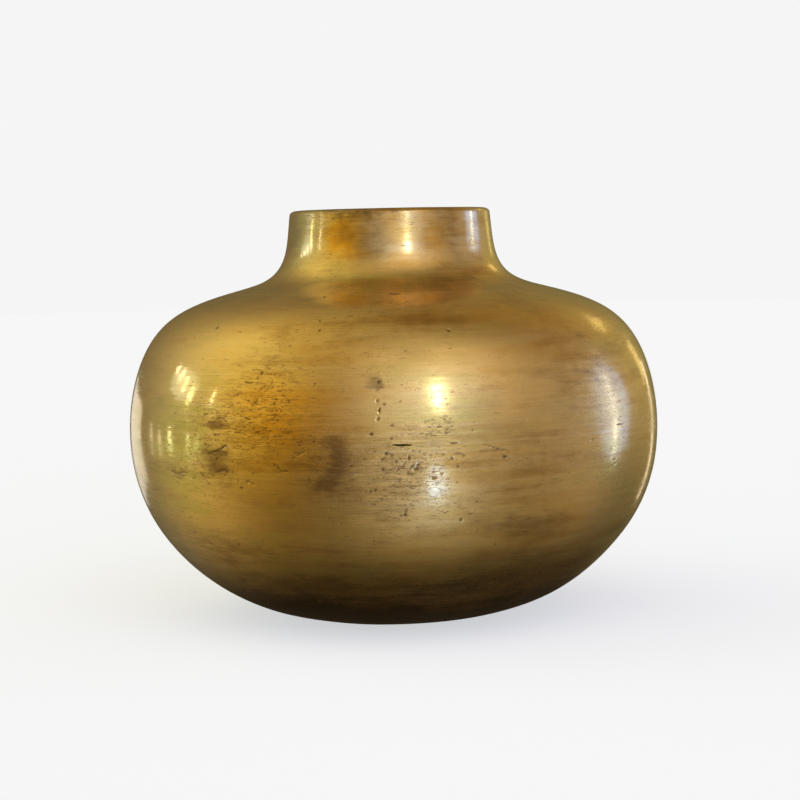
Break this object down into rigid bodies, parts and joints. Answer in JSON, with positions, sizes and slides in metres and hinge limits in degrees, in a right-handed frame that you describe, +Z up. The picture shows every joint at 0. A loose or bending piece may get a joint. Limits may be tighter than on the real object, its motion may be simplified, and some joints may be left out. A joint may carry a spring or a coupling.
{
  "type": "kalash pot",
  "caption": "Squat round brass water pot with a short straight collar and a thick rounded lip, built from lapped and brazed shells around one open hollow.",
  "frame": {"origin": "centre of the foot, on the surface that the pot stands on", "axes": "+Z up along the pot's axis, out of the mouth; X and Y are any two directions across it, because the pot is round"},
  "size_m": [0.32, 0.32, 0.2448],
  "materials": {
    "bowl_brass": "old hand-finished brass, satin, tarnished brown towards the foot, with casting pits and fine turning marks",
    "shoulder_brass": "old hand-finished brass, satin to semi-gloss, with olive and orange patina",
    "collar_brass": "old hand-finished brass, semi-gloss, with turning marks round the neck",
    "braze": "brazing metal, a little paler than the shells, ground flush with them"
  },
  "bodies": {
    "root": {"bowl": "bowl_brass", "shoulder": "shoulder_brass", "collar": "collar_brass", "belly_braze_ring": "braze", "collar_braze_ring": "braze"}
  },
  "joints": []
}
